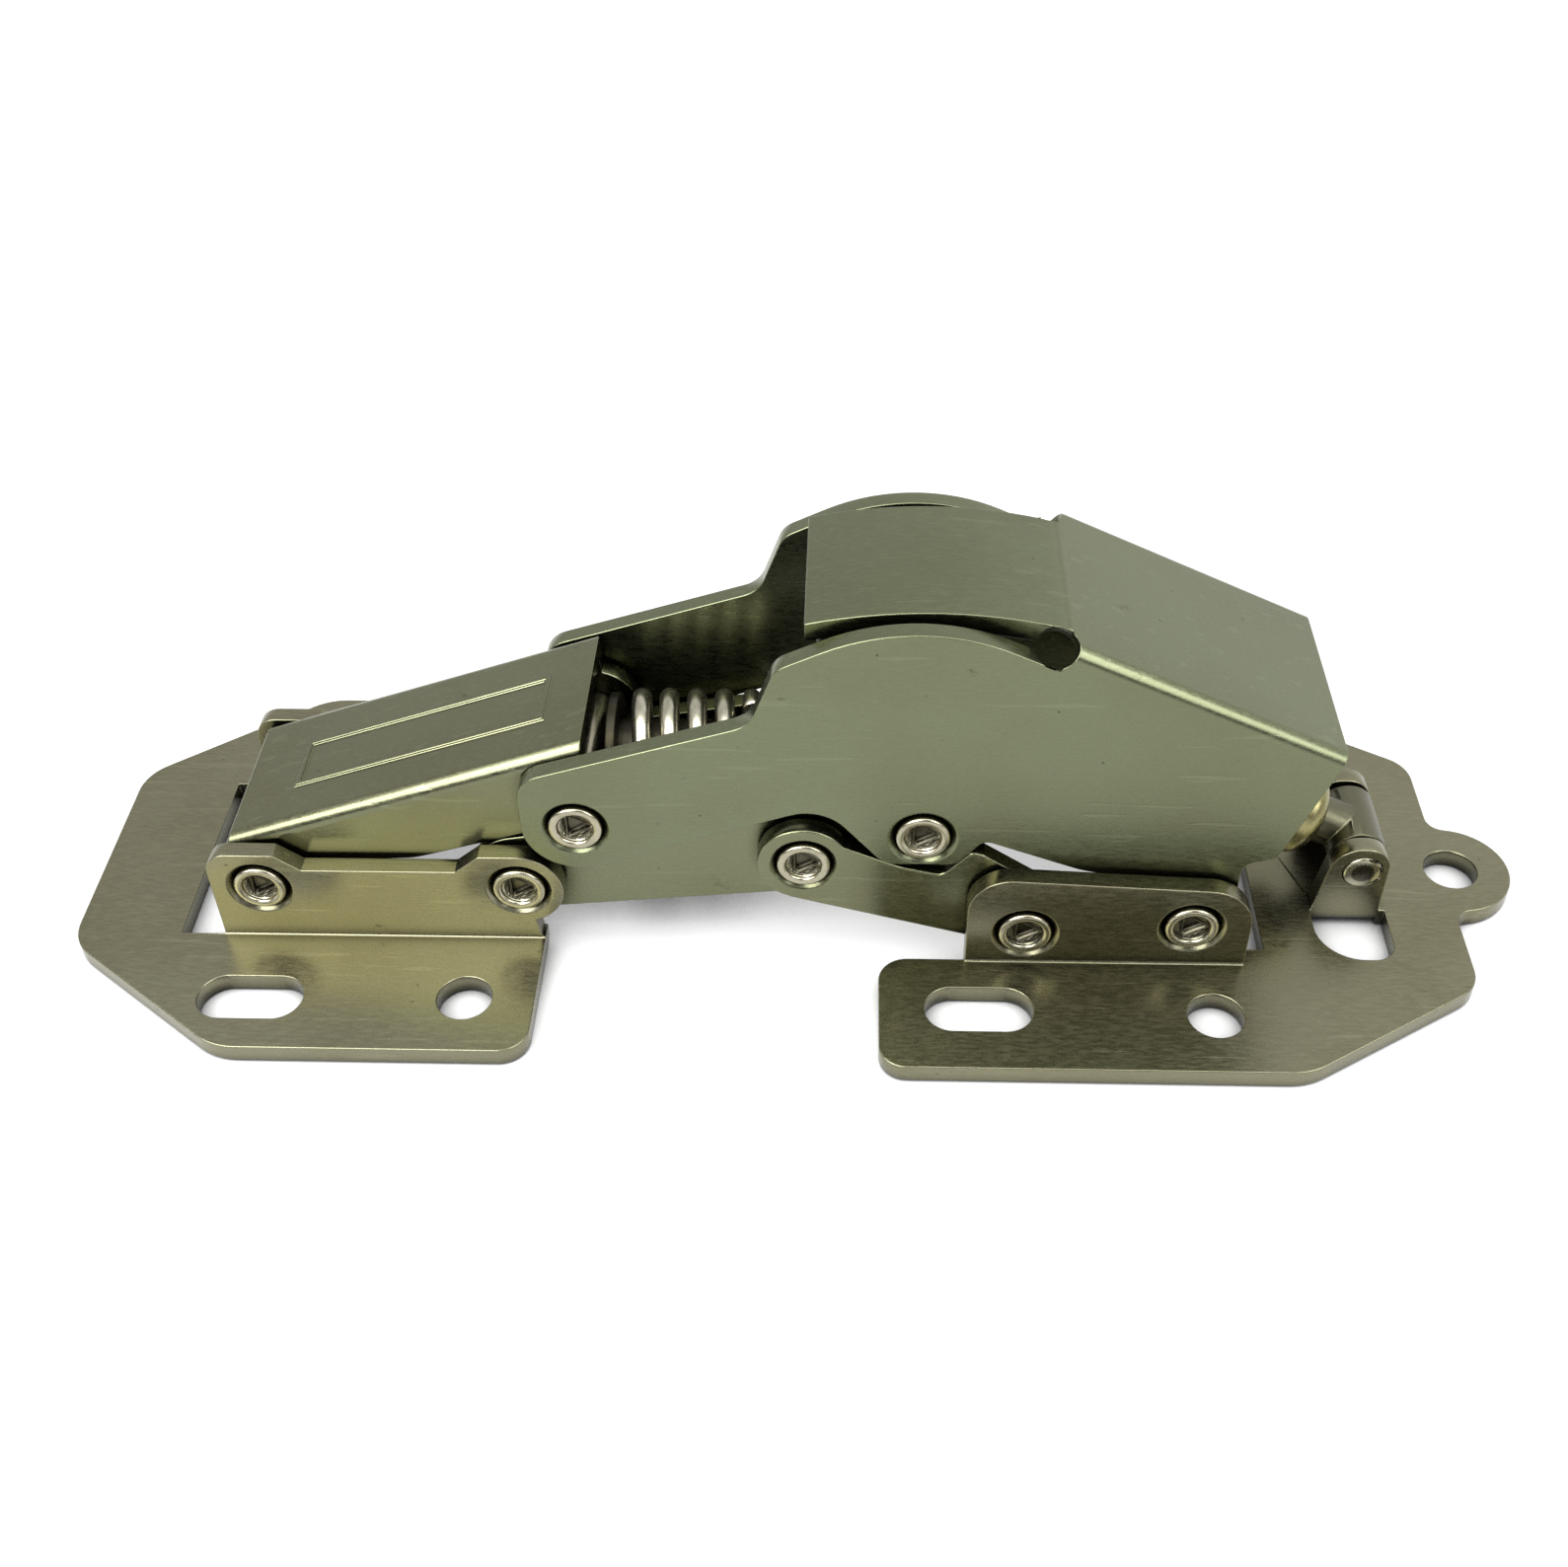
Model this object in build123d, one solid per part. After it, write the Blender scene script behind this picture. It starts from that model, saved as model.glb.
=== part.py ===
from build123d import *
from math import atan2, cos, degrees, pi, radians, sin, tan
import os

# Soft-close face-fixed cabinet hinge, shown fully open with both plates flat.
# Sizes are in millimetres. X runs from the cabinet plate to the door plate,
# Z stands up from the plates, and the hinge is symmetric about Y = 0.

# Sheet steel and fits
SHEET = 1.5                # thickness of every folded piece
LAYER_GAP = 0.3            # side play between two sheets that turn on each other
RUNNING_GAP = 0.05         # radial play of a pin in a link that turns on it
RIVETED_GAP = 0.02         # radial play of a pin in the sheet that holds it
BEND_INNER = 0.3           # inside radius of a pressed fold
BEND_OUTER = 1.1           # outside radius of a pressed fold

# Layers, as distances of a sheet's inner face from the middle plane
LINK_INNER = 5.4
ARM_INNER = LINK_INNER + SHEET + LAYER_GAP
EAR_INNER = ARM_INNER + SHEET + LAYER_GAP
LINK_OUTER = LINK_INNER + SHEET
ARM_OUTER = ARM_INNER + SHEET
EAR_OUTER = EAR_INNER + SHEET

# Pivots in the side view (x, z)
COVER_ROOT = (-45.3, 6.6)      # cover link on the cabinet plate
LOWER_ROOT = (-25.3, 6.7)      # lower link on the cabinet plate
COVER_ARM = (-20.4, 13.2)      # cover link on the arm
LOWER_ARM = (5.2, 12.6)        # lower link on the arm
SHORT_LOWER = (-3.6, 9.7)      # short link on the lower link
SHORT_DOOR = (13.1, 4.5)       # short link on the door plate
ARM_DOOR = (25.5, 5.3)         # arm on the door plate
DAMPER_DOOR = (39.2, 5.7)      # damper on the door plate

# Rivets
PIN_RADIUS = 1.6               # shank that the links turn on
RIVET_END_RADIUS = 2.0         # formed end seen from outside
RIVET_PROUD = 0.12             # rivets stand this far out of the sheet
STUB_FOOT_RADIUS = 2.3         # inner head of the short rivets
STUB_FOOT_HEIGHT = 0.5
RECESS_RADIUS = 1.35           # round recess that leaves a ring at a rivet's end
RECESS_DEPTH = 0.4
MARK_RADIUS = 1.2              # three-sided setting mark in the recess
MARK_DEPTH = 0.9
SINK_RADIUS = 2.55             # countersink around a rivet's end
SINK_DEPTH = 0.55
DAMPER_PIN_RADIUS = 1.2
DAMPER_PIN_END_RADIUS = 1.5

# Cabinet plate
CABINET_LEFT = -61.0
CABINET_RIGHT = -23.8
CABINET_HALF_WIDTH = 20.1
CABINET_NOSE_HALF_WIDTH = 9.8  # straight part of the left edge
CABINET_NOSE_ROUND = 4.0
CABINET_SHOULDER = -47.2       # where the slanted corner meets the long edge
CABINET_SHOULDER_ROUND = 5.0
CABINET_CORNER_ROUND = 2.2
CABINET_WINDOW_LEFT = -52.6
CABINET_EAR_LEFT = -49.1
CABINET_EAR_DIP = 8.5          # height of the ears between their two lobes
LOBE_RISE = 3.4                # from a rivet to the flat top of its lobe
LOBE_ROUND = 1.8
LOBE_RAMP = 1.9                # length of the slope from a lobe to the dip
COVER_LOBE_END = 1.6           # flat top, to the right of the cover link's rivet
LOWER_LOBE_START = 2.8         # flat top, to the left of the lower link's rivet
RAMP_ROUND = 0.4

# Door plate
DOOR_LEFT = 2.1
DOOR_HALF_WIDTH = 21.0
DOOR_CORNER_ROUND = 2.0
DOOR_CHAMFER_START = 33.2
DOOR_CHAMFER_ROUND = 5.0
DOOR_RIGHT = 47.2
DOOR_SHOULDER_Y = 12.5
DOOR_SHOULDER_ROUND = 3.0
DOOR_TAB_CENTRE_X = 47.9
DOOR_TAB_RADIUS = 4.6
DOOR_TAB_NOTCH_ROUND = 1.4
DOOR_WINDOW_RIGHT = 31.6
DOOR_NECK_INNER = 10.4         # half-width of the window left of the ears
DOOR_NECK_ROUND = 2.2
DOOR_EAR_LEFT = 8.7
DOOR_EAR_LEFT_ROUND = 3.2
DOOR_EAR_RIGHT = 29.9
DOOR_EAR_RIGHT_ROUND = 3.6
DOOR_EAR_TOP_LEFT = 10.2
DOOR_EAR_TOP_RIGHT = 9.0
DAMPER_EAR_INNER = 3.2
DAMPER_EAR_RADIUS = 2.3
DAMPER_EAR_BACK = 2.0          # from the damper's pin to the ear's right edge
DAMPER_EAR_BACK_ROUND = 1.9
DAMPER_WINDOW_LEFT = 3.3       # from the damper's pin
DAMPER_WINDOW_RIGHT = 2.5
DAMPER_WINDOW_OUTER = 9.9      # half-distance to the outer edge of the lanced windows
DAMPER_WINDOW_LEFT_ROUND = 3.4
DAMPER_WINDOW_RIGHT_ROUND = 1.8

# Screw holes
SCREW_RADIUS = 2.1
SLOT_LENGTH = 8.1
CABINET_SLOT = (-45.5, 15.2)
CABINET_HOLE = (-29.15, 15.0)
DOOR_SLOT = (9.57, 15.4)
DOOR_HOLE = (27.1, 15.7)

# Cover link
COVER_SLOPE = 19.2             # degrees
COVER_WEB_LEFT = -46.9
COVER_WEB_RIGHT = -19.7
COVER_WEB_TOP_LEFT = 10.2      # height of the web's top face at its left end
COVER_WEB_ROUND = 0.6
COVER_ROOT_END = 3.3
COVER_ARM_END = 3.5
COVER_LOWER_EDGE = (           # corners (x, z, rounding), from the cover link's arm rivet
    (-3.5, -2.0, 1.5),
    (-13.0, -5.0, 5.0),
    (-19.6, -5.4, 3.0),
    (-24.9, -8.6, 1.0),
)
FRAME_CENTRE_X = -33.0         # raised frame pressed in the web
FRAME_LENGTH = 21.2
FRAME_WIDTH = 5.2
FRAME_LINE = 0.45
FRAME_HEIGHT = 0.2

# Lower link and its play at the open pivot
LOWER_ROOT_END = 3.75
LOWER_ARM_END = 3.3
LOWER_SHORT_END = 4.4
LOWER_WEB_LEFT = -18.5
LOWER_WEB_RIGHT = -9.0
LOWER_SLOT_SIDE = 0.33         # sideways play of the pin in the slot
LOWER_SLOT_RISE = 1.1          # up and down play of the pin in the slot
LOWER_SLOT_ANGLE = 90
COVER_END_CLEARANCE = 0.5      # between the lower link and the cover link's round end

# Short links and their play at the open pivot
SHORT_LOWER_END = 3.5
SHORT_DOOR_END = 3.4
SHORT_SLOT_SIDE = 0.2
SHORT_SLOT_REACH = 0.75
SHORT_SLOT_ANGLE = -30         # degrees
SHORT_TOP_EDGE = (             # corners (x, z, rounding), from the lower link's rivet to the lug
    (0.0, 3.2, 0),
    (7.2, -0.1, 4.0),
    (10.3, -0.9, 0.8),
    (12.4, 1.5, 0.5),
    (13.4, 1.2, 0.5),
)
SHORT_LUG_FOOT = (1.5, 3.0, 0)      # from the door rivet
SHORT_LOWER_CORNER = (-1.0, -3.4, 0)

# Main arm, with wall corners (x, z, rounding) measured from the rivet they go with
ARM_END_RADIUS = 4.0           # about the cover link's rivet
ARM_FOOT_HALF_WIDTH = 3.3      # about the door rivet
ARM_FOOT_ROUND = 3.2
ARM_END_TOP = (-4.0, 4.5, 2.4)
ARM_STEP = ((13.1, 10.0, 2.5), (15.0, 15.0, 2.0))
ARM_HUMP = (-0.9, 20.3, 15.0)
ARM_HEEL = ((5.7, 5.6, 1.0), (3.3, 5.0, 1.2))
ARM_INSTEP = ((-3.3, 3.1, 2.0), (-8.5, 4.2, 6.0))
ARM_LOBE = ((4.5, -0.2, 0.8), (2.5, -2.7, 1.5), (-2.8, -2.7, 2.2), (-7.4, 3.0, 3.5))
ARM_END_FLOOR = (0.8, -4.0, 2.0)
ROOF_CREASE = (14.8, 30.15)    # top of the roof where the arch meets the slope
ROOF_END = (34.75, 20.6)
ROOF_SKIRT = 2.4               # depth of the folded edges of the roof
ROOF_WALL_DROP = 1.85          # from the roof's top down to the wall's upper edge
ROOF_WALL_SETBACK = 0.65       # of the wall's end from the roof's end
TONGUE_LEFT = (-3.4, 30.5)
TONGUE_CROWN = (4.8, 31.5)
TONGUE_HALF_WIDTH = 6.5
SLIT_END = (13.7, 28.4)        # wall's upper edge at the end of the slit beside the tongue
RELIEF_RADIUS = 1.45           # round hole there, right through the fold
RELIEF_FROM_MIDDLE = 7.7
RELIEF_HEIGHT = 29.6
RELIEF_TILT = 45               # degrees
RELIEF_LENGTH = 8.0

# Spring pack between the cover rivet and the short link's rivet
SPRING_AXIS_Z = 13.2
SPRING_RADIUS = 4.2            # to the middle of the wire
WIRE_RADIUS = 0.75
SPRING_TURNS = 4.5
WIRE_SIDES = 8
STEPS_PER_TURN = 18
SEAT_LEFT = -18.6
SEAT_THICKNESS = 0.8
SEAT_RADIUS = 4.6
SPRING_HEAD_RIGHT = -5.8
SPRING_HEAD_THICKNESS = 1.0
SPRING_HEAD_RADIUS = 4.3
GUIDE_RADIUS = 2.6

# Damper, measured along its axis from the pin
DAMPER_SLOPE = 153.43          # degrees, pointing up to the left
EYE_RADIUS = 2.2
EYE_HALF_WIDTH = 2.9
NECK_RADIUS = 1.9
CYLINDER_RADIUS = 3.65
CYLINDER_BORE = 3.0
CYLINDER_START = 4.0
CYLINDER_END = 24.2
CYLINDER_ROUND = 1.6           # rounding of the closed end
CYLINDER_END_WALL = 1.4
PLUG_LENGTH = 1.6              # flange of the eye's neck inside the closed end
CAP_LENGTH = 0.8               # outside the cylinder, and the same again inside it
ROD_RADIUS = 1.2
PISTON_LENGTH = 1.6
PISTON_START = 21.5
TIP_RADIUS = 2.5
TIP_FACE_RADIUS = 0.6
TIP_LENGTH = 1.8
TIP_TAPER = 1.2                # length of the tip's cone
TIP_END = 40.2
SOCKET_LEFT = -2.6
SOCKET_BOTTOM = 20.6
SOCKET_TOP = 28.6
SOCKET_ROUND = 0.5
SOCKET_SIDE_GAP = 0.15
SOCKET_GAP = 0.3               # between the rod's tip and its socket

# The middle of the overall length goes to X = 0
CENTRE_X = -(CABINET_LEFT + DOOR_TAB_CENTRE_X + DOOR_TAB_RADIUS) / 2

OVER = 2.0                     # how far a cutting tool reaches past what it cuts


def rounded_face(corners):
    """Flat face from corners (u, v, radius), with an arc at each rounded corner."""
    points = [Vector(u, v) for u, v, _ in corners]
    count = len(points)
    starts, arcs, ends = [], [], []
    for i, (_, _, radius) in enumerate(corners):
        here = points[i]
        if radius == 0:
            starts.append(here)
            ends.append(here)
            continue
        before = (points[i - 1] - here).normalized()
        after = (points[(i + 1) % count] - here).normalized()
        half = radians(before.get_angle(after)) / 2
        bisector = (before + after).normalized()
        starts.append(here + before * (radius / tan(half)))
        ends.append(here + after * (radius / tan(half)))
        middle = here + bisector * (radius / sin(half) - radius)
        arcs.append(ThreePointArc(starts[-1], middle, ends[-1]))
    lines = [Line(ends[i], starts[(i + 1) % count]) for i in range(count)]
    return make_face(arcs + lines)


def disc(pivot, radius):
    """Round face about a pivot of the side view."""
    return Pos(*pivot) * Circle(radius)


def upright(profile, inner, thickness=SHEET):
    """Side-view face as a sheet on the near side, from its inner face outwards."""
    return extrude(Plane.XZ.offset(inner) * profile, amount=thickness)


def across(profile, half_width):
    """Side-view face drawn right across the hinge."""
    return extrude(Plane.XZ.offset(-half_width) * profile, amount=2 * half_width)


def both_sides(near):
    return near + mirror(near, about=Plane.XZ)


def pin(pivot, radius, low, high):
    """Round bar along Y between two values of Y."""
    x, z = pivot
    return Pos(x, (low + high) / 2, z) * Rot(X=90) * Cylinder(radius, high - low)


def bore(pivot, radius):
    """Tool for a round hole right across the hinge."""
    return pin(pivot, radius, -EAR_OUTER - OVER, EAR_OUTER + OVER)


def sink(pivot, face):
    """Tool for the countersinks in both outer faces at a rivet."""
    x, z = pivot
    cone = Cone(SINK_RADIUS, RIVET_END_RADIUS, SINK_DEPTH)
    near = Pos(x, -face + SINK_DEPTH / 2, z) * Rot(X=-90) * cone
    return both_sides(near)


def channel(half_width, depth, start, slope, length):
    """Folded U of sheet along a slope, with its web through the start point."""
    section = rounded_face([
        (-half_width, -depth, 0),
        (-half_width, 0, BEND_OUTER),
        (half_width, 0, BEND_OUTER),
        (half_width, -depth, 0),
        (half_width - SHEET, -depth, 0),
        (half_width - SHEET, -SHEET, BEND_INNER),
        (SHEET - half_width, -SHEET, BEND_INNER),
        (SHEET - half_width, -depth, 0),
    ])
    x, z = start
    run = (cos(radians(slope)), 0, sin(radians(slope)))
    return extrude(Plane((x, 0, z), x_dir=(0, 1, 0), z_dir=run) * section, amount=length)


def slot_hole(half_side, half_reach, angle):
    """Round-ended hole about the origin, for a pin with play along one direction."""
    return Rot(Z=angle) * SlotOverall(2 * half_reach, 2 * half_side)


def beside(pivot, *offsets):
    """Outline corners (x, z, rounding) from offsets to a pivot."""
    return [(pivot[0] + dx, pivot[1] + dz, radius) for dx, dz, radius in offsets]


def fold_corner(y, z, radius, toward, left, right):
    """Stretch between the sharp edge of a fold and its rounding, on both sides."""
    square = Pos(y + toward * radius / 2, z + radius / 2) * Rectangle(radius, radius)
    corner = square - Pos(y + toward * radius, z + radius) * Circle(radius)
    return both_sides(extrude(Plane.YZ.offset(left) * corner, amount=right - left))


def fold(plate, root, face, left, right):
    """Rounds the fold between a plate and ears whose inner side and window side are given."""
    toward = 1 if root > face else -1
    plate += fold_corner(root, SHEET, BEND_INNER, toward, left, right)
    return plate - fold_corner(face, 0, BEND_OUTER, toward, left, right)


def flat_plate(outline):
    return extrude(outline, amount=SHEET)


def screw_holes(slot, hole):
    """Tools for the two slots and two round holes of a plate."""
    near = Pos(slot[0], -slot[1]) * SlotOverall(SLOT_LENGTH, 2 * SCREW_RADIUS)
    near += Pos(hole[0], -hole[1]) * Circle(SCREW_RADIUS)
    return extrude(near + mirror(near, about=Plane.XZ), amount=SHEET)


def mirrored_outline(near_corners):
    """Plate outline from the corners of its near half, given from left to right."""
    near = [(x, -y, radius) for x, y, radius in near_corners]
    far = [(x, y, radius) for x, y, radius in reversed(near_corners)]
    return rounded_face(near + far)


def cabinet_plate():
    outline = mirrored_outline([
        (CABINET_LEFT, CABINET_NOSE_HALF_WIDTH, CABINET_NOSE_ROUND),
        (CABINET_SHOULDER, CABINET_HALF_WIDTH, CABINET_SHOULDER_ROUND),
        (CABINET_RIGHT, CABINET_HALF_WIDTH, CABINET_CORNER_ROUND),
    ])
    window = CABINET_RIGHT + OVER - CABINET_WINDOW_LEFT
    outline -= Pos(CABINET_WINDOW_LEFT + window / 2, 0) * Rectangle(window, 2 * ARM_INNER)
    relief = CABINET_EAR_LEFT - CABINET_WINDOW_LEFT
    outline -= Pos(CABINET_WINDOW_LEFT + relief / 2, 0) * Rectangle(relief, 2 * ARM_OUTER)
    plate = flat_plate(outline) + both_sides(upright(cabinet_ear(), ARM_INNER))
    plate = fold(plate, ARM_OUTER, ARM_INNER, CABINET_EAR_LEFT, CABINET_RIGHT)
    plate -= screw_holes(CABINET_SLOT, CABINET_HOLE)
    for pivot in (COVER_ROOT, LOWER_ROOT):
        plate -= bore(pivot, RIVET_END_RADIUS + RIVETED_GAP)
        plate -= sink(pivot, ARM_OUTER)
    return plate


def cabinet_ear():
    """Side view of an ear with a flat-topped lobe at each rivet."""
    cover_x, cover_z = COVER_ROOT
    lower_x, lower_z = LOWER_ROOT
    ramp_start = cover_x + COVER_LOBE_END
    ramp_end = lower_x - LOWER_LOBE_START
    ear = rounded_face([
        (CABINET_EAR_LEFT, 0, 0),
        (CABINET_EAR_LEFT, cover_z + LOBE_RISE, LOBE_ROUND),
        (ramp_start, cover_z + LOBE_RISE, RAMP_ROUND),
        (ramp_start + LOBE_RAMP, CABINET_EAR_DIP, RAMP_ROUND),
        (ramp_end - LOBE_RAMP, CABINET_EAR_DIP, RAMP_ROUND),
        (ramp_end, lower_z + LOBE_RISE, RAMP_ROUND),
        (lower_x, lower_z + LOBE_RISE, 0),
        (CABINET_RIGHT, 0, 0),
    ])
    return ear + disc(LOWER_ROOT, LOBE_RISE)


def door_plate():
    plate = flat_plate(door_outline()) + both_sides(upright(door_ear(), EAR_INNER))
    plate = fold(plate, EAR_OUTER, EAR_INNER, DOOR_EAR_LEFT, DOOR_EAR_RIGHT)
    plate = plate - damper_windows() + damper_ears()
    pin_x, _ = DAMPER_DOOR
    plate = fold(
        plate, DAMPER_EAR_INNER, DAMPER_EAR_INNER + SHEET,
        pin_x - DAMPER_WINDOW_LEFT, pin_x + DAMPER_EAR_BACK,
    )
    plate -= screw_holes(DOOR_SLOT, DOOR_HOLE)
    for pivot in (SHORT_DOOR, ARM_DOOR):
        plate -= bore(pivot, RIVET_END_RADIUS + RIVETED_GAP)
        plate -= sink(pivot, EAR_OUTER)
    plate -= bore(DAMPER_DOOR, DAMPER_PIN_END_RADIUS + RIVETED_GAP)
    return plate


def door_outline():
    """Plan of the door plate with its tab and the window between the ears."""
    outline = mirrored_outline([
        (DOOR_LEFT, DOOR_HALF_WIDTH, DOOR_CORNER_ROUND),
        (DOOR_CHAMFER_START, DOOR_HALF_WIDTH, DOOR_CHAMFER_ROUND),
        (DOOR_RIGHT, DOOR_SHOULDER_Y, DOOR_SHOULDER_ROUND),
    ])
    outline += Pos(DOOR_TAB_CENTRE_X, 0) * Circle(DOOR_TAB_RADIUS)
    notches = outline.vertices().sort_by(lambda v: abs(v.X - DOOR_RIGHT) + abs(v.Y))[:2]
    outline = fillet(notches, DOOR_TAB_NOTCH_ROUND)
    window = DOOR_WINDOW_RIGHT - DOOR_LEFT + OVER
    outline -= Pos(DOOR_WINDOW_RIGHT - window / 2, 0) * Rectangle(window, 2 * EAR_INNER)
    neck = DOOR_EAR_LEFT - DOOR_LEFT + OVER
    outline -= Pos(DOOR_EAR_LEFT - neck / 2, 0) * Rectangle(neck, 2 * DOOR_NECK_INNER)
    corners = outline.vertices().sort_by(lambda v: abs(v.X - DOOR_LEFT) + abs(v.Y))[:2]
    outline = fillet(corners, DOOR_NECK_ROUND)
    return outline - Pos(DOOR_TAB_CENTRE_X, 0) * Circle(SCREW_RADIUS)


def door_ear():
    """Side view of a large ear."""
    return rounded_face([
        (DOOR_EAR_LEFT, 0, 0),
        (DOOR_EAR_LEFT, DOOR_EAR_TOP_LEFT, DOOR_EAR_LEFT_ROUND),
        (DOOR_EAR_RIGHT, DOOR_EAR_TOP_RIGHT, DOOR_EAR_RIGHT_ROUND),
        (DOOR_EAR_RIGHT, 0, 0),
    ])


def damper_ears():
    """Small ears that are folded up out of the door plate for the damper's pin."""
    x, z = DAMPER_DOOR
    top = z + DAMPER_EAR_RADIUS
    ear = rounded_face([
        (x - DAMPER_WINDOW_LEFT, SHEET / 2, 0),
        (x - DAMPER_EAR_RADIUS, top, DAMPER_EAR_RADIUS),
        (x + DAMPER_EAR_BACK, top, DAMPER_EAR_BACK_ROUND),
        (x + DAMPER_EAR_BACK, SHEET / 2, 0),
    ])
    return both_sides(upright(ear, DAMPER_EAR_INNER))


def damper_windows():
    """Openings that the small ears leave in the plate."""
    x, _ = DAMPER_DOOR
    inner = DAMPER_EAR_INNER + SHEET
    window = rounded_face([
        (x - DAMPER_WINDOW_LEFT, -inner, 0),
        (x + DAMPER_WINDOW_RIGHT, -inner, 0),
        (x + DAMPER_WINDOW_RIGHT, -DAMPER_WINDOW_OUTER, DAMPER_WINDOW_RIGHT_ROUND),
        (x - DAMPER_WINDOW_LEFT, -DAMPER_WINDOW_OUTER, DAMPER_WINDOW_LEFT_ROUND),
    ])
    return extrude(window + mirror(window, about=Plane.XZ), amount=SHEET)


def cover_link():
    root_x, root_z = COVER_ROOT
    arm_x, arm_z = COVER_ARM
    web_top_right = cover_web_top(COVER_WEB_RIGHT)
    side = rounded_face([
        (root_x - COVER_ROOT_END, root_z, 0),
        (COVER_WEB_LEFT, COVER_WEB_TOP_LEFT + OVER, 0),
        (COVER_WEB_RIGHT, web_top_right + OVER, 0),
        (COVER_WEB_RIGHT, arm_z + COVER_ARM_END, COVER_WEB_ROUND),
        (arm_x + COVER_ARM_END, arm_z, 0),
        *beside(COVER_ARM, *COVER_LOWER_EDGE),
    ])
    side += disc(COVER_ROOT, COVER_ROOT_END) + disc(COVER_ARM, COVER_ARM_END)
    start_x = COVER_WEB_LEFT - OVER
    length = (COVER_WEB_RIGHT + OVER - start_x) / cos(radians(COVER_SLOPE))
    depth = web_top_right - root_z + COVER_ROOT_END
    web = channel(LINK_OUTER, depth, (start_x, cover_web_top(start_x)), COVER_SLOPE, length)
    link = web & across(side, LINK_OUTER + OVER)
    for pivot in (COVER_ROOT, COVER_ARM):
        link -= bore(pivot, PIN_RADIUS + RUNNING_GAP)
    return link + raised_frame()


def cover_web_top(x):
    """Height of the top face of the cover link's web."""
    return COVER_WEB_TOP_LEFT + tan(radians(COVER_SLOPE)) * (x - COVER_WEB_LEFT)


def raised_frame():
    """Plain frame pressed up in the cover link's web."""
    centre = (FRAME_CENTRE_X, 0, cover_web_top(FRAME_CENTRE_X))
    run = (cos(radians(COVER_SLOPE)), 0, sin(radians(COVER_SLOPE)))
    up = (-run[2], 0, run[0])
    line = Rectangle(FRAME_LENGTH, FRAME_WIDTH)
    line -= Rectangle(FRAME_LENGTH - 2 * FRAME_LINE, FRAME_WIDTH - 2 * FRAME_LINE)
    plane = Plane(centre, x_dir=run, z_dir=up).offset(-SHEET / 2)
    return extrude(plane * line, amount=SHEET / 2 + FRAME_HEIGHT)


def lower_link():
    root_x, root_z = LOWER_ROOT
    low_x, low_z = SHORT_LOWER
    side = make_hull(
        (disc(LOWER_ROOT, LOWER_ROOT_END) + disc(LOWER_ARM, LOWER_ARM_END)
         + disc(SHORT_LOWER, LOWER_SHORT_END)).edges()
    )
    side -= disc(COVER_ARM, COVER_ARM_END + COVER_END_CLEARANCE)
    floor_left = root_z - LOWER_ROOT_END
    slope = (low_z - LOWER_SHORT_END - floor_left) / (low_x - root_x)
    left, right = [floor_left + slope * (x - root_x) for x in (LOWER_WEB_LEFT, LOWER_WEB_RIGHT)]
    web = rounded_face([
        (LOWER_WEB_LEFT, left, 0),
        (LOWER_WEB_LEFT, left + SHEET, 0),
        (LOWER_WEB_RIGHT, right + SHEET, 0),
        (LOWER_WEB_RIGHT, right, 0),
    ])
    link = both_sides(upright(side, LINK_INNER)) + across(web, LINK_INNER)
    play = Pos(*LOWER_ROOT) * slot_hole(
        PIN_RADIUS + LOWER_SLOT_SIDE, PIN_RADIUS + LOWER_SLOT_RISE, LOWER_SLOT_ANGLE
    )
    link -= across(play, LINK_OUTER + OVER)
    for pivot in (LOWER_ARM, SHORT_LOWER):
        link -= bore(pivot, PIN_RADIUS + RUNNING_GAP)
    return link


def short_link():
    """Near one of the two short links."""
    door_x, door_z = SHORT_DOOR
    side = rounded_face([
        *beside(SHORT_LOWER, *SHORT_TOP_EDGE),
        *beside(SHORT_DOOR, SHORT_LUG_FOOT),
        (door_x, door_z - SHORT_DOOR_END, 0),
        *beside(SHORT_LOWER, SHORT_LOWER_CORNER),
    ])
    side += disc(SHORT_LOWER, SHORT_LOWER_END) + disc(SHORT_DOOR, SHORT_DOOR_END)
    side -= Pos(*SHORT_DOOR) * slot_hole(
        PIN_RADIUS + SHORT_SLOT_SIDE, PIN_RADIUS + SHORT_SLOT_REACH, SHORT_SLOT_ANGLE
    )
    side -= disc(SHORT_LOWER, RIVET_END_RADIUS + RIVETED_GAP)
    return upright(side, ARM_INNER) - sink(SHORT_LOWER, ARM_OUTER)


def roof_slope():
    """Angle of the arm's sloping roof, in degrees."""
    return degrees(atan2(ROOF_END[1] - ROOF_CREASE[1], ROOF_END[0] - ROOF_CREASE[0]))


def arm_side():
    """Side view of one wall of the arm."""
    end_x, end_z = COVER_ARM
    foot_x, foot_z = ARM_DOOR
    sole = foot_z - ARM_FOOT_HALF_WIDTH
    return rounded_face([
        (end_x - ARM_END_RADIUS, end_z - ARM_END_RADIUS, ARM_END_RADIUS),
        *beside(COVER_ARM, ARM_END_TOP, *ARM_STEP),
        *beside(LOWER_ARM, ARM_HUMP),
        (*SLIT_END, 0),
        *beside(ROOF_CREASE, (0, -ROOF_WALL_DROP, 0)),
        *beside(ROOF_END, roof_wall_end()),
        *beside(ARM_DOOR, *ARM_HEEL),
        (foot_x + ARM_FOOT_HALF_WIDTH, sole, ARM_FOOT_ROUND),
        (foot_x - ARM_FOOT_HALF_WIDTH, sole, ARM_FOOT_ROUND),
        *beside(ARM_DOOR, *ARM_INSTEP),
        *beside(LOWER_ARM, *ARM_LOBE),
        *beside(COVER_ARM, ARM_END_FLOOR),
    ])


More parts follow.
